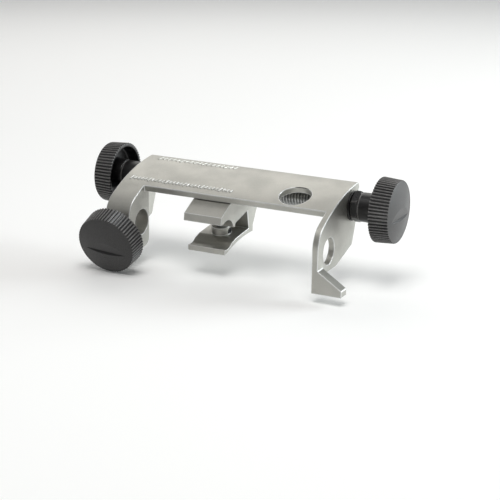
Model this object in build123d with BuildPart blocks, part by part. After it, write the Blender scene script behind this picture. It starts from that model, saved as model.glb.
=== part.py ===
"""Wheel dressing jig that rides on a 12 mm support bar.

+X runs along the bar bore, -Y is the front with the lock knob, +Z is up.
The origin is on the bar bore's axis, midway between the outer faces of the two cheeks.
All sizes are in millimetres.
"""
from build123d import *
import math
import os

# ---- bar and fits ----
bar_radius = 6.0
bore_clearance = 0.15
running_clearance = 0.05
side_gap = 0.3
glide_gap = 0.4

# ---- frame ----
frame_length = 110.0
frame_shell = 3.0
front_reach = 12.0
shoulder_height = 3.0
shoulder_radius = 11.85
shoulder_sweep = 60.4
crown_radius = 88.0
crown_sweep = 27.0
back_lean = 3.0
back_height = 5.0
heel_reach = 27.0
heel_height = -4.0
chin_depth = 9.6
chin_reach = 8.5
foot_depth = 17.0
foot_height = 3.2
foot_length = 11.6
foot_thickness = 6.0
foot_rise = 10.7
boss_length = 13.0
boss_depth = 13.0
boss_reach = 7.0
boss_round = 4.5
window_edge_y = 2.2
window_edge_slant = 0.6
back_round = 2.0
spot_face_margin = 0.6
spot_face_gap = 0.5
sight_hole_inset = 21.9
sight_hole_y = 10.4
sight_hole_radius = 7.5

# ---- lead screw ----
screw_y = 26.0
screw_radius = 4.0
thread_pitch = 1.5
thread_depth_share = 0.45
thread_root_share = 0.3
thread_crest_share = 0.2
spigot_step = 1.0
journal_reach = 1.0
bush_wall = 1.5
bush_flange_width = 1.5
bush_flange = 1.0
bush_chamfer = 0.2
nut_wall = 2.5
nut_thickness = 3.5
nut_chamfer = 0.6
nut_edge_break = 0.1
collar_wall = 2.8
collar_chamfer = 0.4
left_collar_length = 9.2
right_collar_length = 7.7

# ---- knobs ----
knob_back_radius = 15.2
knob_taper = 0.6
knob_rim = 9.2
knob_dome = 1.4
dome_waist = 0.55
dome_fullness = 0.8
lip_width = 1.0
lip_height = 0.3
knob_wall = 1.8
knob_cup_depth = 6.0
knob_hub_radius = 7.0
knob_hub_step = 1.0
knob_teeth = 60
knob_tooth_depth = 0.9
facet_y = -2.9
facet_depth = 0.82
facet_angle = 9.3
facet_reach = 6.0
facet_wall_angle = 35.0
facet_wall_reach = 2.0
insert_wall = 1.6
insert_length = 7.0

# ---- carriage ----
carriage_length = 19.6
carriage_rest_x = -6.1
channel_clearance = 1.0
nose_overhang = 0.3
nose_lean = 0.5
nose_step = 0.75
jaw_reach = 2.0
jaw_thickness = 2.5
back_wall = 0.8
back_wall_lean = 1.0
leg_back_z = 6.0
leg_tip_y = 26.8
leg_tip_z = -1.7
leg_foot_z = -4.9
belly_y = 12.0
belly_z = -5.8
floor_start_y = 4.6
floor_step = 2.0
floor_z = -3.9
leg_front_y = 22.4
leg_front_z = -2.4
recess_apex_y = 20.4
recess_apex_z = 6.6
tooth_step = 1.5
tooth_lean = 0.3
tooth_z = 3.7
tooth_tip_z = 2.0
drive_nut_wall = 1.2
nut_cover = 0.508
key_radius = 1.0
key_length = 6.0

# ---- diamond ----
diamond_y = 14.0
diamond_lean = 9.0
diamond_tip_z = -7.9
diamond_boss_radius = 4.6
diamond_boss_top = 0.6
holder_radius = 2.5
holder_length = 7.2
holder_stand_out = 0.4
holder_bore_relief = 2.0
holder_nose_rim = 0.5
holder_nose_length = 1.2
holder_nose_flare = 25.0
diamond_radius = 1.1
diamond_height = 1.5
diamond_sides = 8
diamond_tip_share = 0.25
clamp_radius = 1.5
clamp_height = -1.9
clamp_bore_relief = 1.0
clamp_socket_radius = 0.8
clamp_socket_depth = 1.2

# ---- lock ----
lock_tilt = 17.2
lock_rim_distance = 14.2
lock_screw_radius = 3.0
lock_thread_pitch = 1.0
pad_inset = 0.3
pad_length = 2.2
pad_stand_off = 0.1
pin_share = 0.4
pin_length = 1.2

# ---- values worked out from the ones above ----
half_length = frame_length / 2
bore_radius = bar_radius + bore_clearance
window_right = half_length - frame_shell
toe_back = foot_thickness - front_reach
sight_hole_x = half_length - sight_hole_inset
lock_x = -half_length + boss_length / 2
spot_face_radius = knob_hub_radius + spot_face_margin
bush_radius = screw_radius + bush_wall
bush_flange_radius = bush_radius + bush_flange_width
nut_flat_radius = screw_radius + nut_wall
nut_corner_radius = nut_flat_radius / math.cos(math.radians(30)) + nut_edge_break
nut_face_radius = nut_flat_radius - nut_edge_break
collar_radius = screw_radius + collar_wall
knob_front_radius = knob_back_radius - knob_taper
knob_rim_end = knob_hub_step + knob_rim
spigot_radius = screw_radius - spigot_step
insert_radius = spigot_radius + insert_wall
flange_face = half_length + bush_flange
left_collar_inner = -flange_face - side_gap
left_hub_face = left_collar_inner - left_collar_length
nut_inner = flange_face + side_gap
right_collar_inner = nut_inner + nut_thickness
right_hub_face = right_collar_inner + right_collar_length
thread_start = -half_length + frame_shell + journal_reach
thread_end = half_length - frame_shell - journal_reach
channel_radius = bar_radius + channel_clearance
nose_bottom = bar_radius
nose_reach = bar_radius + nose_overhang
jaw_depth = channel_radius + jaw_thickness
floor_y = channel_radius + floor_step
tooth_y = channel_radius + tooth_step
drive_nut_radius = screw_radius + drive_nut_wall
carriage_back_y = screw_y + drive_nut_radius + back_wall
leg_back_y = carriage_back_y - back_wall_lean
carriage_left = carriage_rest_x - carriage_length / 2
carriage_right = carriage_rest_x + carriage_length / 2
roof_inset = frame_shell + glide_gap
boss_end_distance = diamond_height + holder_stand_out
clamp_y = diamond_y - (clamp_height - diamond_tip_z) * math.tan(math.radians(diamond_lean))
pad_radius = lock_screw_radius - pad_inset
pin_radius = lock_screw_radius * pin_share
pad_face = bar_radius + pad_stand_off
lock_screw_start = pad_face + pad_length
lock_hub_face = lock_rim_distance - knob_hub_step
lock_thread_length = lock_hub_face - lock_screw_start

os.makedirs("parts", exist_ok=True)


def side_plane(x):
    """Plane at a given X whose local axes are the object's Y and Z."""
    return Plane(origin=(x, 0, 0), x_dir=(0, 1, 0), z_dir=(1, 0, 0))


def axis_plane(x, direction):
    """Plane square to the lead screw at a given X, facing along or against +X."""
    return Plane(origin=(x, screw_y, screw_z), x_dir=(0, direction, 0), z_dir=(direction, 0, 0))


def lock_plane(distance):
    """Plane square to the lock screw at a distance from the bar's axis, facing outwards."""
    lean = math.radians(lock_tilt)
    out_y = -math.cos(lean)
    out_z = -math.sin(lean)
    origin = (lock_x, distance * out_y, distance * out_z)
    return Plane(origin=origin, x_dir=(1, 0, 0), z_dir=(0, out_y, out_z))


def diamond_plane(distance):
    """Plane square to the diamond's shank, a distance above the tip, facing up the shank."""
    lean = math.radians(diamond_lean)
    up_y = -math.sin(lean)
    up_z = math.cos(lean)
    origin = (carriage_rest_x, diamond_y + distance * up_y, diamond_tip_z + distance * up_z)
    return Plane(origin=origin, x_dir=(1, 0, 0), z_dir=(0, up_y, up_z))


def shoulder_end(inset):
    """Point where the shoulder's arc meets the crown's, moved inwards by the inset."""
    turn = math.radians(shoulder_sweep)
    radius = shoulder_radius - inset
    centre_y = shoulder_radius - front_reach
    return (centre_y - radius * math.cos(turn), shoulder_height + radius * math.sin(turn))


def crown_centre():
    """Centre of the crown's arc, which the shoulder's arc runs into without a corner."""
    start = shoulder_end(0)
    rise = math.radians(90 - shoulder_sweep)
    return (start[0] + crown_radius * math.sin(rise), start[1] - crown_radius * math.cos(rise))


def crown_point(y, inset):
    """Height of the crown over a given Y, moved inwards by the inset."""
    centre = crown_centre()
    radius = crown_radius - inset
    return centre[1] + math.sqrt(radius ** 2 - (y - centre[0]) ** 2)


screw_z = crown_point(screw_y, roof_inset) - drive_nut_radius - nut_cover
key_z = screw_z - drive_nut_radius


def thread_profile(radius, pitch, start, end):
    """Half outline of a ring-threaded rod along local X, from start to end."""
    depth = thread_depth_share * pitch
    points = [(start, 0), (start, radius - depth)]
    turns = int((end - start) / pitch)
    margin = (end - start - turns * pitch) / 2
    for turn in range(turns):
        root = start + margin + turn * pitch
        points.append((root + thread_root_share / 2 * pitch, radius - depth))
        points.append((root + (1 - thread_crest_share) / 2 * pitch, radius))
        points.append((root + (1 + thread_crest_share) / 2 * pitch, radius))
        points.append((root + (1 - thread_root_share / 2) * pitch, radius - depth))
    points.append((end, radius - depth))
    points.append((end, 0))
    return points


def cheek_outline(toe):
    """Wire of a cheek: front wall, shoulder, crown, leaning back edge, heel, chin and the toe's corners."""
    shoulder = JernArc((-front_reach, shoulder_height), (0, 1), shoulder_radius, -shoulder_sweep)
    crown = JernArc(shoulder @ 1, shoulder % 1, crown_radius, -crown_sweep)
    top = crown @ 1
    Polyline(
        (top.X, top.Y),
        (top.X - back_lean, back_height),
        (heel_reach, heel_height),
        (chin_reach, -chin_depth),
        *toe,
        (-front_reach, shoulder_height),
    )


def boss_outline():
    """Wire of the lock boss: the cheek's front as far back as the boss reaches, with a rounded bottom."""
    shoulder = JernArc((-front_reach, shoulder_height), (0, 1), shoulder_radius, -shoulder_sweep)
    middle = ((shoulder @ 1).X + boss_reach) / 2
    back = (boss_reach, crown_point(boss_reach, 0))
    ThreePointArc(shoulder @ 1, (middle, crown_point(middle, 0)), back)
    FilletPolyline(
        back,
        (boss_reach, -boss_depth),
        (-front_reach, -boss_depth),
        (-front_reach, shoulder_height),
        radius=boss_round,
    )


def shell_outline():
    """Wire of the arched shell between the window's front edge and the back edge."""
    centre_y, centre_z = crown_centre()
    back = math.radians(90 - shoulder_sweep - crown_sweep)
    back_y = centre_y - crown_radius * math.sin(back)
    back_z = centre_z + crown_radius * math.cos(back)
    inner = crown_radius - frame_shell
    inner_back = (centre_y - inner * math.sin(back), centre_z + inner * math.cos(back))
    inner_edge_y = window_edge_y + window_edge_slant
    front_out = (window_edge_y, crown_point(window_edge_y, 0))
    front_in = (inner_edge_y, crown_point(inner_edge_y, frame_shell))
    middle = (window_edge_y + back_y) / 2
    outer_arc = ThreePointArc(front_out, (middle, crown_point(middle, 0)), (back_y, back_z))
    Line(outer_arc @ 1, inner_back)
    ThreePointArc(inner_back, (middle, crown_point(middle, frame_shell)), front_in)
    Line(front_in, front_out)


def facet_outline():
    """Wire, square to a knob's face, of the cut that leaves a leaning flat and a sloped wall on its dome."""
    top = knob_rim_end + 2 * knob_dome
    crease_z = knob_rim_end + knob_dome - facet_depth
    flat_y = facet_y + facet_reach
    wall_y = facet_y - facet_wall_reach
    Polyline(
        (facet_y, crease_z),
        (flat_y, crease_z + facet_reach * math.tan(math.radians(facet_angle))),
        (flat_y, top),
        (wall_y, top),
        (wall_y, crease_z + facet_wall_reach * math.tan(math.radians(facet_wall_angle))),
        close=True,
    )


def knob(plane, name):
    """Domed, knurled knob with a hollow back; the plane sits at its hub's face, facing its front."""
    inside_radius = knob_back_radius - knob_wall
    cup_end = knob_hub_step + knob_cup_depth
    with BuildPart() as body:
        with BuildSketch(Plane.XZ):
            with BuildLine():
                dome = ThreePointArc(
                    (knob_front_radius - lip_width, knob_rim_end + lip_height),
                    (knob_front_radius * dome_waist, knob_rim_end + knob_dome * dome_fullness),
                    (0, knob_rim_end + knob_dome),
                )
                Polyline(
                    dome @ 1,
                    (0, 0),
                    (knob_hub_radius, 0),
                    (knob_hub_radius, cup_end),
                    (inside_radius, cup_end),
                    (inside_radius, knob_hub_step),
                    (knob_back_radius, knob_hub_step),
                    (knob_front_radius, knob_rim_end - lip_height),
                    dome @ 0,
                )
            make_face()
        revolve(axis=Axis.Z)
        with BuildSketch(Plane.XY.offset(knob_hub_step)):
            with PolarLocations(knob_back_radius, knob_teeth):
                RegularPolygon(radius=knob_tooth_depth, side_count=3, rotation=180)
        extrude(amount=knob_rim, mode=Mode.SUBTRACT)
        with BuildSketch(Plane.YZ.offset(-knob_back_radius)):
            with BuildLine():
                facet_outline()
            make_face()
        extrude(amount=2 * knob_back_radius, mode=Mode.SUBTRACT)
        with BuildSketch(Plane.XY):
            Circle(insert_radius)
        extrude(amount=insert_length, mode=Mode.SUBTRACT)
    body.part.location = plane.location
    body.part.label = name
    export_step(body.part, f"parts/{name}.step")
    return body.part


def knob_insert(plane, name):
    """Round brass insert moulded into a knob's hub, bored for the screw's end."""
    with BuildPart() as body:
        with BuildSketch(plane):
            Circle(insert_radius)
            Circle(spigot_radius, mode=Mode.SUBTRACT)
        extrude(amount=insert_length)
    body.part.label = name
    export_step(body.part, f"parts/{name}.step")
    return body.part


def bush(direction, name):
    """Flanged black nylon bush pressed into a cheek from outside."""
    outer = axis_plane(direction * flange_face, direction)
    with BuildPart() as body:
        with BuildSketch(outer):
            Circle(bush_flange_radius)
        extrude(amount=-bush_flange)
        with BuildSketch(outer):
            Circle(bush_radius)
        extrude(amount=-bush_flange - frame_shell)
        with BuildSketch(outer):
            Circle(screw_radius + running_clearance)
        extrude(amount=-bush_flange - frame_shell, mode=Mode.SUBTRACT)
        flange_edges = body.edges().filter_by(GeomType.CIRCLE).sort_by(SortBy.RADIUS)[-2:]
        chamfer(flange_edges.sort_by(Axis.X)[-1 if direction > 0 else 0], bush_chamfer)
    body.part.label = name
    export_step(body.part, f"parts/{name}.step")


def collar(start, length, direction, name):
    """Black spacer sleeve between a cheek and a knob's hub."""
    with BuildPart() as body:
        with BuildSketch(axis_plane(start, direction)):
            Circle(collar_radius)
            Circle(screw_radius, mode=Mode.SUBTRACT)
        extrude(amount=length)
        chamfer(body.edges().filter_by(GeomType.CIRCLE).sort_by(SortBy.RADIUS)[-2:], collar_chamfer)
    body.part.label = name
    export_step(body.part, f"parts/{name}.step")


# ---- frame ----
with BuildPart() as frame:
    with BuildSketch(side_plane(-half_length)) as shell_face:
        with BuildLine():
            shell_outline()
        make_face()
        fillet(shell_face.vertices().sort_by(Axis.Y)[-1], back_round)
    extrude(amount=frame_length)
    right_toe = [(toe_back, -chin_depth), (toe_back, -foot_depth), (-front_reach, -foot_depth)]
    with BuildSketch(side_plane(window_right)) as right_cheek:
        with BuildLine():
            cheek_outline(right_toe)
        make_face()
        fillet(right_cheek.vertices().sort_by(Axis.Y)[-1], back_round)
    extrude(amount=frame_shell)
    with BuildSketch(side_plane(-half_length)) as left_cheek:
        with BuildLine():
            cheek_outline([(-front_reach, -chin_depth)])
        make_face()
        fillet(left_cheek.vertices().sort_by(Axis.Y)[-1], back_round)
    extrude(amount=frame_shell)
    with BuildSketch(side_plane(-half_length)):
        with BuildLine():
            boss_outline()
        make_face()
    extrude(amount=boss_length)
    with BuildSketch(Plane.XZ.offset(front_reach)):
        with BuildLine():
            Polyline(
                (window_right, -foot_depth),
                (half_length + foot_length, -foot_depth),
                (half_length + foot_length, -foot_depth + foot_height),
                (half_length, -foot_depth + foot_rise),
                (window_right, -foot_depth + foot_rise),
                close=True,
            )
        make_face()
    extrude(amount=-foot_thickness)
    with BuildSketch(side_plane(-half_length)):
        Circle(bore_radius)
    extrude(amount=frame_length, mode=Mode.SUBTRACT)
    with BuildSketch(axis_plane(-half_length, 1)):
        Circle(bush_radius)
    extrude(amount=frame_length, mode=Mode.SUBTRACT)
    with BuildSketch(lock_plane(0)):
        Circle(lock_screw_radius + running_clearance)
    extrude(amount=2 * front_reach, mode=Mode.SUBTRACT)
    with BuildSketch(lock_plane(lock_hub_face - spot_face_gap)):
        Circle(spot_face_radius)
    extrude(amount=front_reach, mode=Mode.SUBTRACT)
    centre_y, centre_z = crown_centre()
    sight_z = crown_point(sight_hole_y, 0)
    hole_axis = (0, sight_hole_y - centre_y, sight_z - centre_z)
    hole_plane = Plane(origin=(sight_hole_x, sight_hole_y, sight_z), x_dir=(1, 0, 0), z_dir=hole_axis)
    with BuildSketch(hole_plane.offset(frame_shell)):
        Circle(sight_hole_radius)
    extrude(amount=-3 * frame_shell, mode=Mode.SUBTRACT)
frame.part.label = "frame"
export_step(frame.part, "parts/frame.step")

# ---- lead screw ----
with BuildPart() as lead_screw:
    with BuildSketch(Plane(origin=(0, screw_y, screw_z), x_dir=(1, 0, 0), z_dir=(0, -1, 0))):
        with BuildLine():
            Polyline(*thread_profile(screw_radius, thread_pitch, thread_start, thread_end), close=True)
        make_face()
    revolve(axis=Axis((0, screw_y, screw_z), (1, 0, 0)))
    with BuildSketch(axis_plane(thread_end, 1)):
        Circle(screw_radius)
    extrude(amount=right_hub_face - thread_end)
    with BuildSketch(axis_plane(thread_start, -1)):
        Circle(screw_radius)
    extrude(amount=thread_start - left_hub_face)
    with BuildSketch(axis_plane(right_hub_face, 1)):
        Circle(spigot_radius)
    extrude(amount=insert_length)
    with BuildSketch(axis_plane(left_hub_face, -1)):
        Circle(spigot_radius)
    extrude(amount=insert_length)
lead_screw.part.label = "lead_screw"
export_step(lead_screw.part, "parts/lead_screw.step")

bush(-1, "left_bush")
bush(1, "right_bush")

# ---- stop nut ----
with BuildPart() as stop_nut:
    with BuildSketch(axis_plane(nut_inner, 1)):
        RegularPolygon(radius=nut_flat_radius, side_count=6, major_radius=False)
        Circle(screw_radius, mode=Mode.SUBTRACT)
    extrude(amount=nut_thickness)
    with BuildSketch(Plane(origin=(nut_inner, screw_y, screw_z), x_dir=(1, 0, 0), z_dir=(0, -1, 0))):
        with BuildLine():
            Polyline(
                (0, 0),
                (0, nut_face_radius),
                (nut_chamfer, nut_corner_radius),
                (nut_thickness - nut_chamfer, nut_corner_radius),
                (nut_thickness, nut_face_radius),
                (nut_thickness, 0),
                close=True,
            )
        make_face()
    revolve(axis=Axis((0, screw_y, screw_z), (1, 0, 0)), mode=Mode.INTERSECT)
stop_nut.part.label = "stop_nut"
export_step(stop_nut.part, "parts/stop_nut.step")

collar(left_collar_inner, left_collar_length, -1, "left_collar")
collar(right_collar_inner, right_collar_length, 1, "right_collar")
knob(axis_plane(left_hub_face, -1), "left_knob")
knob_insert(axis_plane(left_hub_face, -1), "left_knob_insert")
knob(axis_plane(right_hub_face, 1), "right_knob")
knob_insert(axis_plane(right_hub_face, 1), "right_knob_insert")

# ---- carriage ----
roof_front = shoulder_end(roof_inset)
roof_middle_y = (roof_front[0] + carriage_back_y) / 2
nose_top = roof_front[1] - nose_step
tooth_tip_y = math.sqrt(channel_radius ** 2 - tooth_tip_z ** 2)
channel_front_y = -math.sqrt(channel_radius ** 2 - nose_bottom ** 2)
jaw_top_z = -math.sqrt(channel_radius ** 2 - jaw_reach ** 2)
floor_start_z = -math.sqrt(channel_radius ** 2 - floor_start_y ** 2)
key_plane = Plane(origin=(carriage_right, screw_y, key_z), x_dir=(0, 1, 0), z_dir=(1, 0, 0))
clamp_plane = Plane(origin=(carriage_rest_x, clamp_y, clamp_height), x_dir=(0, 1, 0), z_dir=(1, 0, 0))
with BuildPart() as carriage:
    with BuildSketch(side_plane(carriage_left)):
        with BuildLine():
            roof = ThreePointArc(
                roof_front,
                (roof_middle_y, crown_point(roof_middle_y, roof_inset)),
                (carriage_back_y, crown_point(carriage_back_y, roof_inset)),
            )
            Polyline(
                roof @ 1,
                (leg_back_y, leg_back_z),
                (leg_tip_y, leg_tip_z),
                (leg_tip_y, leg_foot_z),
            )
            ThreePointArc((leg_tip_y, leg_foot_z), (belly_y, belly_z), (-jaw_reach, -jaw_depth))
            Line((-jaw_reach, -jaw_depth), (-jaw_reach, jaw_top_z))
            ThreePointArc((-jaw_reach, jaw_top_z), (0, -channel_radius), (floor_start_y, floor_start_z))
            Polyline(
                (floor_start_y, floor_start_z),
                (floor_y, floor_z),
                (leg_front_y, leg_front_z),
                (recess_apex_y, recess_apex_z),
                (tooth_y, tooth_z),
                (tooth_y - tooth_lean, tooth_tip_z),
                (tooth_tip_y, tooth_tip_z),
            )
            ThreePointArc((tooth_tip_y, tooth_tip_z), (0, channel_radius), (channel_front_y, nose_bottom))
            Polyline(
                (channel_front_y, nose_bottom),
                (-nose_reach, nose_bottom),
                (-nose_reach + nose_lean, nose_top),
                roof_front,
            )
        make_face()
    extrude(amount=carriage_length)
    with BuildSketch(diamond_plane(boss_end_distance)):
        Circle(diamond_boss_radius)
    extrude(amount=diamond_boss_top - diamond_tip_z - boss_end_distance)
    with BuildSketch(diamond_plane(0)):
        Circle(holder_radius)
    extrude(amount=diamond_boss_top - diamond_tip_z + holder_bore_relief, mode=Mode.SUBTRACT)
    with BuildSketch(axis_plane(carriage_left, 1)):
        Circle(drive_nut_radius)
    extrude(amount=carriage_length, mode=Mode.SUBTRACT)
    with BuildSketch(key_plane):
        Circle(key_radius)
    extrude(amount=-key_length, mode=Mode.SUBTRACT)
    with BuildSketch(clamp_plane):
        Circle(clamp_radius)
    extrude(amount=diamond_boss_radius + clamp_bore_relief, mode=Mode.SUBTRACT)
carriage.part.label = "carriage"
export_step(carriage.part, "parts/carriage.step")

with BuildPart() as drive_nut:
    with BuildSketch(axis_plane(carriage_left, 1)):
        Circle(drive_nut_radius)
        Circle(screw_radius + running_clearance, mode=Mode.SUBTRACT)
    extrude(amount=carriage_length)
    with BuildSketch(key_plane):
        Circle(key_radius)
    extrude(amount=-key_length, mode=Mode.SUBTRACT)
drive_nut.part.label = "drive_nut"
export_step(drive_nut.part, "parts/drive_nut.step")

with BuildPart() as nut_key:
    with BuildSketch(key_plane):
        Circle(key_radius)
    extrude(amount=-key_length)
nut_key.part.label = "nut_key"
export_step(nut_key.part, "parts/nut_key.step")

# ---- diamond, its shank and the shank's grub screw ----
with BuildPart() as diamond_holder:
    with BuildSketch(diamond_plane(diamond_height)):
        Circle(diamond_radius + holder_nose_rim)
    extrude(amount=holder_nose_length, taper=-holder_nose_flare)
    with BuildSketch(diamond_plane(diamond_height + holder_nose_length)):
        Circle(holder_radius)
    extrude(amount=holder_length)
diamond_holder.part.label = "diamond_holder"
export_step(diamond_holder.part, "parts/diamond_holder.step")

with BuildPart() as diamond:
    with BuildSketch(diamond_plane(diamond_height)):
        RegularPolygon(radius=diamond_radius, side_count=diamond_sides)
    with BuildSketch(diamond_plane(0)):
        RegularPolygon(radius=diamond_tip_share * diamond_radius, side_count=diamond_sides)
    loft()
diamond.part.label = "diamond"
export_step(diamond.part, "parts/diamond.step")

with BuildPart() as diamond_screw:
    with BuildSketch(clamp_plane.offset(holder_radius)):
        Circle(clamp_radius)
    extrude(amount=diamond_boss_radius - holder_radius)
    with BuildSketch(clamp_plane.offset(diamond_boss_radius)):
        RegularPolygon(radius=clamp_socket_radius, side_count=6)
    extrude(amount=-clamp_socket_depth, mode=Mode.SUBTRACT)
diamond_screw.part.label = "diamond_screw"
export_step(diamond_screw.part, "parts/diamond_screw.step")

# ---- lock knob, its screw and the pad that bears on the bar ----
knob(lock_plane(lock_hub_face), "lock_knob")
knob_insert(lock_plane(lock_hub_face), "lock_knob_insert")
with BuildPart() as lock_screw:
    with BuildSketch(Plane.XZ):
        with BuildLine():
            Polyline(*thread_profile(lock_screw_radius, lock_thread_pitch, 0, lock_thread_length), close=True)
        make_face()
    revolve(axis=Axis.X)
    with BuildSketch(Plane.YZ.offset(lock_thread_length)):
        Circle(spigot_radius)
    extrude(amount=insert_length)
    with BuildSketch(Plane.YZ):
        Circle(pin_radius)
    extrude(amount=-pin_length)
lock_frame = lock_plane(lock_screw_start)
turned = Plane(origin=lock_frame.origin, x_dir=lock_frame.z_dir, z_dir=(1, 0, 0))
lock_screw.part.location = turned.location
lock_screw.part.label = "lock_screw"
export_step(lock_screw.part, "parts/lock_screw.step")

with BuildPart() as lock_pad:
    with BuildSketch(lock_plane(pad_face)):
        Circle(pad_radius)
    extrude(amount=pad_length - side_gap)
    with BuildSketch(lock_plane(lock_screw_start - pin_length - side_gap)):
        Circle(pin_radius + running_clearance)
    extrude(amount=pin_length + side_gap, mode=Mode.SUBTRACT)
lock_pad.part.label = "lock_pad"
export_step(lock_pad.part, "parts/lock_pad.step")
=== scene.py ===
"""Looks of the wheel dressing jig: cast frame and carriage, screw-fed diamond, black knurled knobs.

Metres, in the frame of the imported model: +X along the bar bore, -Y to the front, +Z up.
Sizes below are in millimetres and are turned to metres where a mesh is made.
"""
import math
import bpy
import bmesh
import numpy as np
from mathutils import Matrix, Vector


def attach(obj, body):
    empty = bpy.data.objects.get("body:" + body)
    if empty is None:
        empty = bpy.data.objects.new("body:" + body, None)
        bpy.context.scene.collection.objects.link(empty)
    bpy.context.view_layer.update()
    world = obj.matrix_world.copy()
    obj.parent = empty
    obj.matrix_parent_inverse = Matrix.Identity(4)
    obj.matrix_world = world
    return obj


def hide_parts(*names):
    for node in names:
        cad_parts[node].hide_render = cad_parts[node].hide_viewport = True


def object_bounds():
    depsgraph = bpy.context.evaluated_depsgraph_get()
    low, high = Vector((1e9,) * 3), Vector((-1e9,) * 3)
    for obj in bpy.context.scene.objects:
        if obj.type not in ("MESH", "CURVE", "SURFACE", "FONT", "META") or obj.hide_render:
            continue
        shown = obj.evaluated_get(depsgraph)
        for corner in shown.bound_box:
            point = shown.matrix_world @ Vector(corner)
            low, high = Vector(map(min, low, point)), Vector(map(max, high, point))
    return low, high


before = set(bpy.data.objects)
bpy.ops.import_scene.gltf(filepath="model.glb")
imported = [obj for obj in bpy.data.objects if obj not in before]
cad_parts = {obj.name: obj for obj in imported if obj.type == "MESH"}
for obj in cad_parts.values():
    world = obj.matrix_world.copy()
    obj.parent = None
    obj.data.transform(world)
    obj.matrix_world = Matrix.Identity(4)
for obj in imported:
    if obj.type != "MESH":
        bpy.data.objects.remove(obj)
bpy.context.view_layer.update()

MM = 0.001

# ---- axes the pieces are built round ----
SCREW_Y = 26.0
SCREW_Z = 14.9
SCREW_BORE = 5.6
SCREW_RADIUS = 4.0
SCREW_PITCH = 1.5
SCREW_DEPTH = 0.675
COLLAR_RADIUS = 6.8
COLLAR_CHAMFER = 0.45
LOCK_X = -48.5
LOCK_TILT = math.radians(17.2)
LOCK_OUT = np.array([0.0, -math.cos(LOCK_TILT), -math.sin(LOCK_TILT)])
LOCK_UP = np.array([0.0, -math.sin(LOCK_TILT), math.cos(LOCK_TILT)])
LOCK_HUB = 13.2
LOCK_RADIUS = 3.0
LOCK_PITCH = 1.0
LOCK_DEPTH = 0.45
LEFT_HUB = -65.5
RIGHT_HUB = 67.5

# ---- knob ----
KNOB_BACK = 15.2
KNOB_FRONT = 14.6
KNOB_RIM = 9.2
KNOB_DOME = 1.4
KNOB_HUB_STEP = 1.0
KNOB_HUB = 7.0
KNOB_CUP = 6.0
KNOB_WALL = 1.8
KNOB_TEETH = 60
TOOTH_DEPTH = 0.55
FACET_UP = -2.9
FACET_DEPTH = 0.82
FACET_ANGLE = math.radians(9.3)
FACET_WALL = math.radians(35.0)
INSERT_RADIUS = 4.6
INSERT_LENGTH = 7.0
CAP_RADIUS = KNOB_FRONT - 0.62
CAP_THICKNESS = 0.5

# ---- arch of the frame ----
FRONT_REACH = 12.0
SHOULDER_HEIGHT = 3.0
SHOULDER_RADIUS = 11.85
SHOULDER_SWEEP = math.radians(60.4)
CROWN_RADIUS = 88.0
SHARP_CORNER = math.radians(32)


def crown_height(y):
    """Height of the crown over y: the circle that the shoulder's arc runs into, at one tangent."""
    start_y = SHOULDER_RADIUS - FRONT_REACH - SHOULDER_RADIUS * math.cos(SHOULDER_SWEEP)
    start_z = SHOULDER_HEIGHT + SHOULDER_RADIUS * math.sin(SHOULDER_SWEEP)
    rise = math.pi / 2 - SHOULDER_SWEEP
    centre_y = start_y + CROWN_RADIUS * math.sin(rise)
    centre_z = start_z - CROWN_RADIUS * math.cos(rise)
    return centre_z + np.sqrt(CROWN_RADIUS ** 2 - (np.asarray(y, float) - centre_y) ** 2)


# ---------------------------------------------------------------- shader groups


class Nodes:
    """Small helper that adds and joins shader nodes in one tree."""

    def __init__(self, tree):
        self.tree = tree

    def add(self, kind, **settings):
        node = self.tree.nodes.new(kind)
        for key, value in settings.items():
            setattr(node, key, value)
        return node

    def join(self, source, target):
        self.tree.links.new(source, target)

    def math(self, operation, first, second=0.5, clamp=False):
        node = self.add("ShaderNodeMath", operation=operation, use_clamp=clamp)
        for socket, value in zip(node.inputs, (first, second)):
            if isinstance(value, (int, float)):
                socket.default_value = value
            else:
                self.join(value, socket)
        return node.outputs[0]

    def mix(self, factor, first, second):
        node = self.add("ShaderNodeMix", data_type="RGBA")
        for socket, value in zip((node.inputs[0], node.inputs[6], node.inputs[7]), (factor, first, second)):
            if isinstance(value, tuple):
                socket.default_value = value
            else:
                self.join(value, socket)
        return node.outputs[2]

    def ramp(self, factor, low, high):
        node = self.add("ShaderNodeMapRange", interpolation_type="SMOOTHSTEP")
        self.join(factor, node.inputs[0])
        for socket, value in zip(node.inputs[1:5], (low, high, 0.0, 1.0)):
            socket.default_value = value
        return node.outputs[0]

    def noise(self, vector, scale, detail, roughness):
        node = self.add("ShaderNodeTexNoise")
        self.join(vector, node.inputs["Vector"])
        self.join(scale, node.inputs["Scale"])
        node.inputs["Detail"].default_value = detail
        node.inputs["Roughness"].default_value = roughness
        return node.outputs[0]


def new_group(name, inputs, outputs):
    """Shader group with its sockets made; returns the helper, the input node and the output node."""
    group = bpy.data.node_groups.new(name, "ShaderNodeTree")
    for socket_name, kind, value in inputs:
        socket = group.interface.new_socket(name=socket_name, in_out="INPUT", socket_type=kind)
        if value is not None:
            socket.default_value = value
    for socket_name, kind in outputs:
        group.interface.new_socket(name=socket_name, in_out="OUTPUT", socket_type=kind)
    kit = Nodes(group)
    return group, kit, kit.add("NodeGroupInput"), kit.add("NodeGroupOutput")


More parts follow.
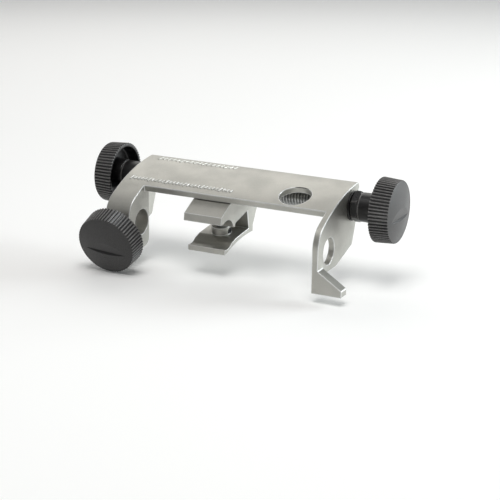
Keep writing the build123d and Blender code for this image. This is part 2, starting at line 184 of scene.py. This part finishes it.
def make_grain_group():
    """Cast or moulded grain: fine bumps, with soft clouds of tone and gloss between two limits."""
    inputs = (
        ("Vector", "NodeSocketVector", None),
        ("Light Tone", "NodeSocketColor", (0.6, 0.6, 0.6, 1)),
        ("Dark Tone", "NodeSocketColor", (0.5, 0.5, 0.5, 1)),
        ("Grain Scale", "NodeSocketFloat", 2500.0),
        ("Cloud Scale", "NodeSocketFloat", 60.0),
        ("Low Gloss", "NodeSocketFloat", 0.35),
        ("High Gloss", "NodeSocketFloat", 0.5),
    )
    outputs = (("Color", "NodeSocketColor"), ("Roughness", "NodeSocketFloat"), ("Height", "NodeSocketFloat"))
    group, kit, enter, leave = new_group("surface_grain", inputs, outputs)
    grain = kit.noise(enter.outputs["Vector"], enter.outputs["Grain Scale"], 2.0, 0.6)
    cloud = kit.noise(enter.outputs["Vector"], enter.outputs["Cloud Scale"], 4.0, 0.55)
    blend = kit.math("MULTIPLY_ADD", kit.ramp(cloud, 0.32, 0.68), 0.7)
    kit.join(kit.math("MULTIPLY", kit.ramp(grain, 0.25, 0.75), 0.3), blend.node.inputs[2])
    kit.join(kit.mix(blend, enter.outputs["Light Tone"], enter.outputs["Dark Tone"]), leave.inputs["Color"])
    spread = kit.math("SUBTRACT", enter.outputs["High Gloss"], enter.outputs["Low Gloss"])
    rough = kit.math("MULTIPLY_ADD", blend, spread)
    kit.join(enter.outputs["Low Gloss"], rough.node.inputs[2])
    kit.join(rough, leave.inputs["Roughness"])
    kit.join(grain, leave.inputs["Height"])
    return group


def make_wear_and_sheen_group():
    """Rubbed wear and painted sheen: a mask of broken streaks, stronger where the piece's wear-and-sheen
    attribute is high; on knurl crests, knob caps and scale tops it paints highlight.
    """
    inputs = (
        ("Vector", "NodeSocketVector", None),
        ("Edge", "NodeSocketFloat", 0.0),
        ("Amount", "NodeSocketFloat", 0.5),
        ("Scale", "NodeSocketFloat", 300.0),
    )
    group, kit, enter, leave = new_group("rubbed_edges_and_painted_sheen", inputs, (("Mask", "NodeSocketFloat"),))
    speckle = kit.ramp(kit.noise(enter.outputs["Vector"], enter.outputs["Scale"], 4.0, 0.65), 0.35, 0.65)
    raised = kit.math("MULTIPLY", enter.outputs["Edge"], kit.math("ADD", speckle, 0.4))
    kit.join(kit.math("MULTIPLY", raised, enter.outputs["Amount"], clamp=True), leave.inputs["Mask"])
    return group


GRAIN_DEPTH = 0.0004
GRAIN = make_grain_group()
WEAR_AND_SHEEN = make_wear_and_sheen_group()


def material(name, light, dark, gloss, grain, cloud, bump, metal=0.0, wear_and_sheen=None, extra=None):
    """Principled material with grain on Object coordinates, and a lighter tone for rubbed edges and painted
    sheen where the mesh says so.
    """
    made = bpy.data.materials.new(name)
    made.use_nodes = True
    tree = made.node_tree
    kit = Nodes(tree)
    shader = tree.nodes["Principled BSDF"]
    place = kit.add("ShaderNodeTexCoord").outputs["Object"]
    surface = kit.add("ShaderNodeGroup", node_tree=GRAIN)
    kit.join(place, surface.inputs["Vector"])
    surface.inputs["Light Tone"].default_value = (*light, 1)
    surface.inputs["Dark Tone"].default_value = (*dark, 1)
    surface.inputs["Grain Scale"].default_value = grain
    surface.inputs["Cloud Scale"].default_value = cloud
    surface.inputs["Low Gloss"].default_value = gloss[0]
    surface.inputs["High Gloss"].default_value = gloss[1]
    colour = surface.outputs["Color"]
    rough = surface.outputs["Roughness"]
    if wear_and_sheen:
        tone, rub_gloss, amount, scale = wear_and_sheen
        rubbed_and_sheen = kit.add("ShaderNodeGroup", node_tree=WEAR_AND_SHEEN)
        kit.join(place, rubbed_and_sheen.inputs["Vector"])
        edge = kit.add("ShaderNodeAttribute", attribute_name="edge")
        kit.join(edge.outputs["Fac"], rubbed_and_sheen.inputs["Edge"])
        rubbed_and_sheen.inputs["Amount"].default_value = amount
        rubbed_and_sheen.inputs["Scale"].default_value = scale
        # Mixes in the lighter tone: rubbed wear, and painted highlight and sheen on the knobs and scale tops.
        colour = kit.mix(rubbed_and_sheen.outputs["Mask"], colour, (*tone, 1))
        step = kit.math("MULTIPLY", rubbed_and_sheen.outputs["Mask"], rub_gloss - gloss[1])
        rough = kit.math("ADD", rough, step, clamp=True)
    kit.join(colour, shader.inputs["Base Color"])
    kit.join(rough, shader.inputs["Roughness"])
    shader.inputs["Metallic"].default_value = metal
    relief = kit.add("ShaderNodeBump")
    relief.inputs["Strength"].default_value = bump
    relief.inputs["Distance"].default_value = GRAIN_DEPTH
    kit.join(surface.outputs["Height"], relief.inputs["Height"])
    kit.join(relief.outputs["Normal"], shader.inputs["Normal"])
    for socket, value in (extra or {}).items():
        shader.inputs[socket].default_value = value
    return made


# Each wear-and-sheen entry is the lighter tone (rubbed wear, and painted highlight and sheen on the knobs and
# scale tops), its gloss, how strong it is and how fine its streaks are.
# Cast alloy: its lighter tone shows only on the scale tops, where it is a painted highlight as well as wear.
CAST = material(
    "cast_alloy", (0.470, 0.464, 0.428), (0.410, 0.405, 0.376), (0.37, 0.48), 1500.0, 70.0,
    bump=0.22, metal=0.85, wear_and_sheen=((0.74, 0.745, 0.73), 0.30, 0.9, 420.0),
)
# Bevel faces: lighter and less metallic, a painted highlight along every corner as well as worn edges.
CAST_CORNER = material(
    "cast_alloy_corners", (0.74, 0.745, 0.73), (0.60, 0.605, 0.595), (0.30, 0.42), 1500.0, 160.0,
    bump=0.08, metal=0.6,
)
# Black plastic: its lighter tone paints highlight on the knurl crests and sheen on the knob caps, as well as
# rubbing.
BLACK_PLASTIC = material(
    "black_plastic", (0.0090, 0.0085, 0.0089), (0.0055, 0.0052, 0.0055), (0.28, 0.38), 2600.0, 80.0,
    bump=0.10, wear_and_sheen=((0.165, 0.160, 0.158), 0.42, 1.0, 2600.0),
)
BLACK_STEEL = material(
    "blackened_steel", (0.030, 0.030, 0.031), (0.018, 0.018, 0.019), (0.26, 0.38), 1800.0, 120.0,
    bump=0.06, metal=0.4, wear_and_sheen=((0.16, 0.155, 0.15), 0.3, 0.7, 700.0),
)
BRIGHT_STEEL = material(
    "turned_steel", (0.34, 0.345, 0.34), (0.24, 0.243, 0.24), (0.28, 0.40), 2200.0, 90.0,
    bump=0.06, metal=1.0, wear_and_sheen=((0.55, 0.555, 0.55), 0.25, 0.5, 600.0),
)
BRONZE = material(
    "plain_bronze", (0.60, 0.43, 0.22), (0.44, 0.30, 0.15), (0.28, 0.42), 2000.0, 110.0,
    bump=0.06, metal=1.0, wear_and_sheen=((0.74, 0.57, 0.33), 0.25, 0.6, 600.0),
)
DIAMOND = material(
    "dressing_diamond", (0.62, 0.60, 0.50), (0.34, 0.32, 0.25), (0.08, 0.22), 1400.0, 900.0,
    bump=0.25, extra={"Coat Weight": 0.6, "IOR": 2.2},
)


# ---------------------------------------------------------------- mesh helpers


def fix_normals(piece):
    """Merges doubled points, drops faces with no area and turns every closed shell's faces outwards."""
    mesh = piece.data
    work = bmesh.new()
    work.from_mesh(mesh)
    bmesh.ops.remove_doubles(work, verts=work.verts, dist=2e-6)
    bmesh.ops.dissolve_degenerate(work, edges=work.edges, dist=1e-7)
    bmesh.ops.recalc_face_normals(work, faces=work.faces)
    work.to_mesh(mesh)
    work.free()


def finish_piece(name, points, faces, finish, body, edge, smooth, replaced=()):
    """Makes one piece from points in millimetres and faces, with its finish, its mask of wear and painted
    sheen, and its body.
    """
    mesh = bpy.data.meshes.new(name)
    mesh.from_pydata((np.asarray(points) * MM).tolist(), [], faces)
    layer = mesh.attributes.new("edge", "FLOAT", "POINT")
    layer.data.foreach_set("value", np.asarray(edge, np.float32).ravel())
    mesh.materials.append(finish)
    mesh.shade_smooth()
    mesh.set_sharp_from_angle(angle=math.radians(smooth))
    mesh.validate()
    piece = bpy.data.objects.new(name, mesh)
    bpy.context.scene.collection.objects.link(piece)
    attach(piece, body)
    if replaced:
        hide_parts(*replaced)
    fix_normals(piece)


def ring_faces(rows, columns):
    """Quads of a grid of rows round a closed ring of columns, facing outwards for a rising profile."""
    row, column = np.meshgrid(np.arange(rows - 1), np.arange(columns), indexing="ij")
    following = (column + 1) % columns
    quads = np.stack(
        [
            row * columns + column, row * columns + following,
            (row + 1) * columns + following, (row + 1) * columns + column,
        ],
        axis=-1,
    )
    return quads.reshape(-1, 4).tolist()


def turned_grid(along, angle, radius):
    """Points (along, radius * cos(angle), radius * sin(angle)), with a radius for each row and angle."""
    along = np.repeat(along[:, None], len(angle), axis=1)
    return np.stack([along, radius * np.cos(angle), radius * np.sin(angle)], axis=-1)


def lathe(profile, columns, reach=None):
    """Points of a turned piece: each profile row (along, radius) is carried round the axis.

    reach(angle, radius), where given, returns a radius that changes with the angle.
    """
    profile = np.asarray(profile, float)
    angle = np.linspace(0, 2 * np.pi, columns, endpoint=False)
    radius = np.repeat(profile[:, 1:2], columns, axis=1)
    if reach is not None:
        radius = reach(angle[None, :], radius)
    return turned_grid(profile[:, 0], angle, radius)


def close_lathe(points):
    """Faces of a turned grid with a fan onto a pole at each end; returns points and faces."""
    rows, columns = points.shape[:2]
    flat = points.reshape(-1, 3)
    first_pole = len(flat)
    ends = np.array([[points[0, 0, 0], 0, 0], [points[-1, 0, 0], 0, 0]])
    flat = np.concatenate([flat, ends])
    faces = ring_faces(rows, columns)
    ring = np.arange(columns)
    following = (ring + 1) % columns
    last = (rows - 1) * columns
    faces += np.stack([np.full(columns, first_pole), following, ring], axis=-1).tolist()
    faces += np.stack([np.full(columns, first_pole + 1), last + ring, last + following], axis=-1).tolist()
    return flat, faces


def loop_lathe(points):
    """Faces of a turned grid whose last row joins its first, as on a sleeve or a hollow body."""
    rows, columns = points.shape[:2]
    faces = np.asarray(ring_faces(rows + 1, columns)) % (rows * columns)
    return points.reshape(-1, 3), faces.tolist()


def along_axis(points, origin, out, up):
    """Puts local points (along, across, up) on an axis: origin + along*out + across*side + up*up."""
    out = np.asarray(out, float)
    up = np.asarray(up, float)
    side = np.cross(up, out)
    flat = np.asarray(points).reshape(-1, 3)
    return np.asarray(origin, float) + flat[:, :1] * out + flat[:, 1:2] * side + flat[:, 2:3] * up


def rounded_profile(corners, radius, steps=5):
    """Rounds each corner of a closed list of (along, radius) points.

    Each corner is swapped for a quadratic curve between two points set back along its sides.
    """
    corners = np.asarray(corners, float)
    before = np.roll(corners, 1, axis=0)
    after = np.roll(corners, -1, axis=0)
    back = before - corners
    ahead = after - corners
    back_length = np.linalg.norm(back, axis=1, keepdims=True)
    ahead_length = np.linalg.norm(ahead, axis=1, keepdims=True)
    reach = np.minimum(np.minimum(back_length, ahead_length) * 0.45, np.asarray(radius, float).reshape(-1, 1))
    start = corners + back / back_length * reach
    end = corners + ahead / ahead_length * reach
    share = np.linspace(0, 1, steps)[None, :, None]
    curve = (1 - share) ** 2 * start[:, None] + share ** 2 * end[:, None]
    curve = curve + 2 * share * (1 - share) * corners[:, None]
    return curve.reshape(-1, 2)


# ---------------------------------------------------------------- knobs


def knurl(angle, radius):
    """Rounded ridges on the rim: the radius less a flattened raised cosine of the angle."""
    ridge = 0.5 - 0.5 * np.cos(KNOB_TEETH * angle)
    on_rim = (radius > KNOB_FRONT - 0.25).astype(float)
    return radius - TOOTH_DEPTH * (1 - ridge ** 0.8) * on_rim


def knob_body():
    """Hollow turned knob: hub, cup, rounded rim and the seat under its domed cap, as one closed loop."""
    rim_start = KNOB_HUB_STEP
    rim_end = rim_start + KNOB_RIM
    seat = KNOB_FRONT - 0.9
    inside = KNOB_BACK - KNOB_WALL
    corners = [
        (0.0, INSERT_RADIUS), (INSERT_LENGTH, INSERT_RADIUS), (INSERT_LENGTH, 0.4), (rim_end - 0.4, 0.4),
        (rim_end - 0.4, seat), (rim_end + 0.12, seat + 0.25), (rim_end - 0.05, KNOB_FRONT),
        (rim_start, KNOB_BACK), (rim_start, inside), (rim_start + KNOB_CUP, inside - 0.5),
        (rim_start + KNOB_CUP, KNOB_HUB + 0.15), (0.0, KNOB_HUB),
    ]
    radii = [0.3, 0.1, 0.1, 0.05, 0.1, 0.15, 0.35, 0.45, 0.35, 1.0, 1.0, 0.4]
    profile = rounded_profile(corners, radii)
    return profile[::-1]


def dome_height(across, up):
    """Height of the cap over its rim, and its painted sheen.

    The cap is a shallow paraboloid, cut by a flat that rises gently from its crease at FACET_UP
    and by a wall that rises steeply the other way. The sheen is painted light on the dome and the flat, most
    where it is low, as a painted reflection, and the wall gets none, so it stays dark as painted shade.
    """
    crown = KNOB_DOME * (1 - (across ** 2 + up ** 2) / CAP_RADIUS ** 2) + 0.02
    crease = KNOB_DOME - FACET_DEPTH
    flat = crease + (up - FACET_UP) * math.tan(FACET_ANGLE)
    wall = crease - (up - FACET_UP) * math.tan(FACET_WALL)
    cut = np.maximum(flat, wall)
    # Painted sheen: lighter on the dome and the flat, most toward the bottom as a painted reflection; none on
    # the wall, which stays dark as painted shade.
    painted_sheen = np.where(crown <= cut, 0.15, np.where(flat > wall, 0.12, 0.0)) * (1.0 - 0.55 * up / CAP_RADIUS)
    return np.minimum(crown, cut), painted_sheen


def knob_cap(base):
    """Closed cap: rows across the disc, close together over the facet's wall, over a flat underside."""
    edge_rows = np.sin(np.linspace(-np.pi / 2, np.pi / 2, 49)) * CAP_RADIUS
    coarse = edge_rows[(edge_rows < FACET_UP - 1.5) | (edge_rows > FACET_UP + 5.0)]
    fine = FACET_UP + np.concatenate([np.arange(-30, 5) * 0.05, np.arange(2, 25) * 0.2])
    rows = np.sort(np.concatenate([coarse, fine]))
    share = np.sin(np.linspace(-np.pi / 2, np.pi / 2, 121))
    half = np.sqrt(np.maximum(CAP_RADIUS ** 2 - rows ** 2, 0))
    across = half[:, None] * share[None, :]
    up = np.repeat(rows[:, None], len(share), axis=1)
    height, painted_sheen = dome_height(across, up)
    top = np.stack([base + height, across, up], axis=-1)
    under = np.stack([np.full_like(across, base - CAP_THICKNESS), across, up], axis=-1)
    count = len(rows) * len(share)
    row, column = np.meshgrid(np.arange(len(rows) - 1), np.arange(len(share) - 1), indexing="ij")
    first = row * len(share) + column
    quads = np.stack([first, first + 1, first + len(share) + 1, first + len(share)], axis=-1).reshape(-1, 4)
    side = np.concatenate([
        np.arange(len(share)), np.arange(1, len(rows)) * len(share) + len(share) - 1,
        (len(rows) - 1) * len(share) + np.arange(len(share) - 2, -1, -1),
        np.arange(len(rows) - 2, 0, -1) * len(share),
    ])
    following = np.roll(side, -1)
    skirt = np.stack([side, side + count, following + count, following], axis=-1)
    points = np.concatenate([top.reshape(-1, 3), under.reshape(-1, 3)])
    return points, quads, (quads + count)[:, ::-1], skirt, painted_sheen


def make_knob(name, origin, out, up, body, turn):
    """Knurled knob with a domed, faceted cap; the facet is turned about the axis by turn."""
    angle_columns = KNOB_TEETH * 10
    body_points, body_faces = loop_lathe(lathe(knob_body(), angle_columns, knurl))
    cap_points, top, under, skirt, painted_sheen = knob_cap(KNOB_HUB_STEP + KNOB_RIM)
    cosine, sine = math.cos(turn), math.sin(turn)
    cap_points = cap_points @ np.array([[1, 0, 0], [0, cosine, sine], [0, -sine, cosine]])
    start = len(body_points)
    cap_faces = (np.concatenate([top, under, skirt]) + start).tolist()
    points = np.concatenate([body_points, cap_points])
    radius = np.hypot(points[:, 1], points[:, 2])
    angle = np.arctan2(points[:, 2], points[:, 1])
    ridge = 0.5 - 0.5 * np.cos(KNOB_TEETH * angle)
    on_rim = (radius > KNOB_FRONT - 0.5) & (points[:, 0] > KNOB_HUB_STEP - 0.1)
    # The knurl crests take the lighter tone, a painted highlight along each crest as well as rubbing; the cap
    # takes its painted sheen.
    edge = np.where(on_rim, ridge ** 2, 0.0)
    edge[start:] = np.concatenate([painted_sheen.ravel(), np.zeros(painted_sheen.size)])
    placed = along_axis(points, origin, out, up)
    faces = body_faces + cap_faces
    finish_piece(name + "_shell", placed, faces, BLACK_PLASTIC, body, edge, 40.0, (name,))


SCREW_AXIS = (0.0, SCREW_Y, SCREW_Z)
UPWARDS = (0.0, 0.0, 1.0)
make_knob("left_knob", (LEFT_HUB, SCREW_Y, SCREW_Z), (-1, 0, 0), UPWARDS, "feed_screw", 0.35)
make_knob("right_knob", (RIGHT_HUB, SCREW_Y, SCREW_Z), (1, 0, 0), UPWARDS, "feed_screw", 0.0)
LOCK_SEAT = np.array([LOCK_X, 0, 0]) + LOCK_HUB * LOCK_OUT
make_knob("lock_knob", LOCK_SEAT, LOCK_OUT, LOCK_UP, "lock_screw", -0.08)


# ---------------------------------------------------------------- screws, nut and sleeves


def helix_screw(name, spans, pitch, depth, origin, out, up, body, columns):
    """Right-hand threaded rod.

    spans lists (start, end, radius, threaded). On a threaded span the radius falls by the thread's
    depth along a flat-topped wave of (along / pitch - angle / one turn), fading out at its ends.
    """
    rows = []
    for start, end, radius, threaded in spans:
        count = int((end - start) / pitch * 12) if threaded else 4
        along = np.linspace(start, end, count)
        to_end = np.minimum(along - start, end - along)
        fade = np.clip(to_end / (0.6 * pitch), 0, 1) if threaded else np.zeros(count)
        rows.append(np.stack([along, np.full(count, radius), fade], axis=-1))
    rows = np.concatenate(rows)
    bevel = 0.35
    first = [rows[0, 0] - bevel, rows[0, 1] - bevel, 0]
    last = [rows[-1, 0] + bevel, rows[-1, 1] - bevel, 0]
    rows = np.concatenate([[first], rows, [last]])
    angle = np.linspace(0, 2 * np.pi, columns, endpoint=False)
    phase = (rows[:, :1] / pitch - angle[None, :] / (2 * np.pi)) % 1.0
    wave = np.clip(1.5 - 5.0 * np.abs(phase - 0.5), 0, 1)
    radius = rows[:, 1:2] - depth * wave * rows[:, 2:3]
    points, faces = close_lathe(turned_grid(rows[:, 0], angle, radius))
    edge = np.concatenate([((1 - wave) * rows[:, 2:3]).ravel() * 0.8, [0, 0]])
    placed = along_axis(points, origin, out, up)
    finish_piece(name + "_turned", placed, faces, BRIGHT_STEEL, body, edge, 50.0, (name,))


helix_screw(
    "lead_screw",
    [
        (-72.2, LEFT_HUB, 3.0, False), (-65.4, -51.0, SCREW_RADIUS, False), (-51.0, 51.0, SCREW_RADIUS, True),
        (51.0, 67.4, SCREW_RADIUS, False), (RIGHT_HUB, 74.2, 3.0, False),
    ],
    SCREW_PITCH, SCREW_DEPTH, SCREW_AXIS, (1, 0, 0), UPWARDS, "feed_screw", 48,
)
helix_screw(
    "lock_screw", [(7.3, 8.2, 1.2, False), (8.6, 13.0, LOCK_RADIUS, True), (13.1, 19.8, LOCK_RADIUS, False)],
    LOCK_PITCH, LOCK_DEPTH, (LOCK_X, 0, 0), LOCK_OUT, LOCK_UP, "lock_screw", 36,
)


def collar(name, start, end, columns=72):
    """Black collar on the lead screw: a rectangle with rounded corners carried round the axis."""
    outer, inner, chamfer = COLLAR_RADIUS, SCREW_RADIUS, COLLAR_CHAMFER
    inset = chamfer + 0.4
    corners = [
        (start, inner), (start, outer), (start + inset, outer),
        (end - inset, outer), (end, outer), (end, inner),
    ]
    profile = rounded_profile(corners, [0.1, chamfer, 0.01, 0.01, chamfer, 0.1])
    points, faces = loop_lathe(lathe(profile, columns))
    radius = np.repeat(profile[:, 1], columns)
    along = np.repeat(profile[:, 0], columns)
    near_end = np.minimum(np.abs(along - start), np.abs(end - along)) < chamfer + 0.05
    edge = np.where(near_end & (radius > (inner + outer) / 2), 1.0, 0.0)
    placed = along_axis(points, SCREW_AXIS, (1, 0, 0), UPWARDS)
    finish_piece(
        name + "_turned", placed, faces, BLACK_PLASTIC, "feed_screw", edge, 50.0, (name,)
    )


collar("left_collar", LEFT_HUB, -56.3)
collar("right_collar", 59.8, RIGHT_HUB)


def make_stop_nut():
    """Hexagon nut: six flats of radius flat/cos(angle from the flat), trimmed by a cone at each face."""
    flat, start, end = 6.5, 56.3, 59.8
    along = np.concatenate([[start, start], np.linspace(start, end, 17), [end, end]])
    reach = np.concatenate([[4.0, 5.4], np.full(17, 7.6), [5.4, 4.0]])
    columns = 96
    angle = np.linspace(0, 2 * np.pi, columns, endpoint=False) + math.radians(8)
    hexagon = flat / np.cos((angle + np.pi / 6) % (np.pi / 3) - np.pi / 6)
    cone = 6.45 + np.minimum(along - start, end - along) * 1.5
    radius = np.minimum(np.minimum(reach[:, None], hexagon[None, :]), np.maximum(cone, 0)[:, None])
    radius[0] = radius[-1] = 4.0
    points, faces = loop_lathe(turned_grid(along, angle, radius))
    trimmed = (hexagon[None, :] > cone[:, None] - 0.1) & (reach > 6)[:, None]
    corner = np.abs((angle + np.pi / 6) % (np.pi / 3) - np.pi / 6) > math.radians(26)
    edge = np.where(trimmed | corner[None, :], 0.7, 0.0)
    placed = along_axis(points, SCREW_AXIS, (1, 0, 0), UPWARDS)
    finish_piece(
        "stop_nut_turned", placed, faces, BLACK_STEEL, "feed_screw", edge, 22.0, ("stop_nut",)
    )


make_stop_nut()


# ---------------------------------------------------------------- castings


def casting(node, width, body):
    """Cast piece with rounded corners: the CAD shape, its flats joined up, then bevelled along its corners.

    The rims of the bores round the lead screw stay sharp, because the walls beside them are thin.
    """
    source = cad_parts[node]
    mesh = source.data.copy()
    mesh.name = node + "_cast"
    work = bmesh.new()
    work.from_mesh(mesh)
    bmesh.ops.remove_doubles(work, verts=work.verts, dist=2e-6)
    bmesh.ops.dissolve_limit(
        work, angle_limit=math.radians(0.6), verts=work.verts, edges=work.edges, use_dissolve_boundaries=False
    )
    weight = work.edges.layers.float.new("bevel_weight_edge")
    for edge in work.edges:
        on_bore = all(
            math.hypot(end.co.y / MM - SCREW_Y, end.co.z / MM - SCREW_Z) < SCREW_BORE for end in edge.verts
        )
        edge[weight] = float(edge.calc_face_angle(0.0) > SHARP_CORNER and not on_bore)
    work.to_mesh(mesh)
    work.free()
    mesh.materials.clear()
    mesh.materials.append(CAST)
    mesh.materials.append(CAST_CORNER)
    mesh.shade_smooth()
    mesh.set_sharp_from_angle(angle=math.radians(30))
    piece = bpy.data.objects.new(node + "_cast", mesh)
    bpy.context.scene.collection.objects.link(piece)
    bevel = piece.modifiers.new("corner_rounding", "BEVEL")
    bevel.width = width * MM
    bevel.segments = 3
    bevel.limit_method = "WEIGHT"
    bevel.use_clamp_overlap = False
    bevel.harden_normals = True
    # The bevel faces take the lighter corner finish: a painted highlight along the corners as well as wear.
    bevel.material = 1
    bevel.miter_outer = "MITER_ARC"
    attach(piece, body)
    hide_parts(node)


casting("frame", 0.4, "frame")
casting("carriage", 0.25, "carriage")


def scale_marks(name, y, x_start, x_end, spacing, length, lean, high, rubbed_and_sheen):
    """Raised scale on the crown: small closed bars with tapered sides, every fifth one longer.

    Each bar is eight points round its own centre line, set on the crown's surface over its Y.
    """
    centres = np.arange(x_start, x_end, spacing)
    longer = np.where(np.arange(len(centres)) % 5 == 0, 1.35, 1.0)
    low, foot, top = -0.15, 0.46, 0.22
    corner = np.array([[-1, -1], [1, -1], [1, 1], [-1, 1]], float)
    bars = []
    for level, half in ((low, foot), (high, top)):
        along = corner[None, :, 1] * (length / 2 * longer)[:, None] - (foot - half) * corner[None, :, 1]
        wide = corner[None, :, 0] * half + along * lean
        x = centres[:, None] + wide
        y_here = y + along
        z = crown_height(y_here) + level
        bars.append(np.stack([x, y_here, z], axis=-1))
    points = np.concatenate(bars, axis=1).reshape(-1, 3)
    block = np.array([[0, 3, 2, 1], [4, 5, 6, 7], [0, 1, 5, 4], [1, 2, 6, 5], [2, 3, 7, 6], [3, 0, 4, 7]])
    faces = (block[None] + 8 * np.arange(len(centres))[:, None, None]).reshape(-1, 4).tolist()
    # The bar tops take the lighter tone by this amount: wear and a painted highlight.
    edge = np.tile(np.repeat([0.0, rubbed_and_sheen], 4), len(centres))
    finish_piece(name, points, faces, CAST, "frame", edge, 30.0)


# The front scale's tops are painted lighter than the back's, a painted highlight as well as wear, because the
# lamps light the front bars less.
scale_marks("front_scale", 6.6, -51.0, 4.0, 1.9, 2.1, 0.35, 0.38, 0.9)
scale_marks("back_scale", 28.3, -47.5, -5.0, 2.4, 2.9, 0.35, 0.26, 0.2)


# ---------------------------------------------------------------- hidden pieces, which keep their CAD shape

FINISHES = {
    "left_bush": BLACK_PLASTIC, "right_bush": BLACK_PLASTIC, "drive_nut": BRONZE, "lock_pad": BRONZE,
    "left_knob_insert": BRONZE, "right_knob_insert": BRONZE, "lock_knob_insert": BRONZE,
    "nut_key": BRIGHT_STEEL, "diamond_holder": BRIGHT_STEEL, "diamond_screw": BLACK_STEEL, "diamond": DIAMOND,
}
for node_name, finish in FINISHES.items():
    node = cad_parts[node_name]
    node.data.materials.clear()
    node.data.materials.append(finish)


# ---------------------------------------------------------------- floor, light and camera


def make_floor(level):
    """Pale floor that rises into a backdrop: a flat run, then a quarter circle, carried along X."""
    bend = 0.6
    turn = np.linspace(0, np.pi / 2, 17)
    run = np.concatenate([[-3.0], 2.4 + bend * np.sin(turn)])
    rise = np.concatenate([[0.0], bend * (1 - np.cos(turn))])
    run = np.append(run, run[-1])
    rise = np.append(rise, 3.5)
    across = np.linspace(-5.0, 5.0, 3)
    grid = np.stack(np.broadcast_arrays(across[None, :], run[:, None], (rise + level)[:, None]), axis=-1)
    rows, columns = grid.shape[:2]
    row, column = np.meshgrid(np.arange(rows - 1), np.arange(columns - 1), indexing="ij")
    first = row * columns + column
    faces = np.stack([first, first + 1, first + columns + 1, first + columns], axis=-1).reshape(-1, 4)
    mesh = bpy.data.meshes.new("studio_floor")
    mesh.from_pydata(grid.reshape(-1, 3).tolist(), [], faces.tolist())
    mesh.shade_smooth()
    paper = bpy.data.materials.new("pale_paper")
    paper.use_nodes = True
    shader = paper.node_tree.nodes["Principled BSDF"]
    shader.inputs["Base Color"].default_value = (0.97, 0.97, 0.965, 1)
    shader.inputs["Roughness"].default_value = 0.9
    mesh.materials.append(paper)
    floor = bpy.data.objects.new("studio_floor", mesh)
    bpy.context.scene.collection.objects.link(floor)


def make_flag():
    """Black card behind the camera, a flat upright sheet, so that faces turned to it stay dark."""
    across = np.linspace(-0.9, 0.9, 3)
    rise = np.linspace(0.02, 1.5, 2)
    side = np.array([0.893, 0.449])
    away = np.array([0.449, -0.893]) * 1.3
    grid = [(*(side * step + away), height) for height in rise for step in across]
    mesh = bpy.data.meshes.new("black_card")
    mesh.from_pydata(grid, [], [(0, 1, 4, 3), (1, 2, 5, 4)])
    card = bpy.data.materials.new("black_card")
    card.use_nodes = True
    shader = card.node_tree.nodes["Principled BSDF"]
    shader.inputs["Base Color"].default_value = (0.02, 0.02, 0.02, 1)
    shader.inputs["Roughness"].default_value = 0.9
    mesh.materials.append(card)
    flag = bpy.data.objects.new("black_card", mesh)
    bpy.context.scene.collection.objects.link(flag)


def area_light(name, place, size, power, colour):
    """Soft rectangular light at place, facing the origin."""
    data = bpy.data.lights.new(name, "AREA")
    data.shape = "RECTANGLE"
    data.size, data.size_y = size
    data.energy = power
    data.color = colour
    light = bpy.data.objects.new(name, data)
    bpy.context.scene.collection.objects.link(light)
    light.location = place
    light.rotation_mode = "QUATERNION"
    light.rotation_quaternion = (-Vector(place)).to_track_quat("-Z", "Y")


scene = bpy.context.scene
low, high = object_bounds()
make_floor(low.z - 0.0005)
make_flag()
area_light("back_softbox", (-0.38, 0.60, 0.56), (0.8, 0.6), 2.0, (1.0, 0.98, 0.945))
area_light("right_softbox", (0.80, 0.62, 0.28), (0.6, 0.5), 9.5, (0.92, 0.98, 1.0))
area_light("top_softbox", (0.10, -0.28, 0.85), (0.5, 0.5), 4.4, (1.0, 0.995, 0.98))
world = bpy.data.worlds.new("studio_air")
world.use_nodes = True
world.node_tree.nodes["Background"].inputs["Color"].default_value = (1.0, 1.0, 1.0, 1)
world.node_tree.nodes["Background"].inputs["Strength"].default_value = 0.30
scene.world = world

AZIMUTH = math.radians(26.71)
ELEVATION = math.radians(17.12)
ROLL = math.radians(0.69)
level = math.cos(ELEVATION)
back = Vector((math.sin(AZIMUTH) * level, -math.cos(AZIMUTH) * level, math.sin(ELEVATION)))
right = Vector((math.cos(AZIMUTH), math.sin(AZIMUTH), 0.0))
up = back.cross(right)
rolled_right = right * math.cos(ROLL) + up * math.sin(ROLL)
rolled_up = up * math.cos(ROLL) - right * math.sin(ROLL)
camera_data = bpy.data.cameras.new("bench_camera")
camera_data.sensor_width = 36.0
camera_data.lens = 107.16
camera_data.shift_x = 0.019
camera_data.shift_y = -0.0085
camera_data.clip_start = 0.01
camera_data.clip_end = 20.0
camera = bpy.data.objects.new("bench_camera", camera_data)
scene.collection.objects.link(camera)
turned = Matrix((rolled_right, rolled_up, back)).transposed().to_4x4()
turned.translation = Vector((305.69, -586.35, 198.10)) * MM
camera.matrix_world = turned
scene.camera = camera
scene.view_settings.view_transform = "Standard"
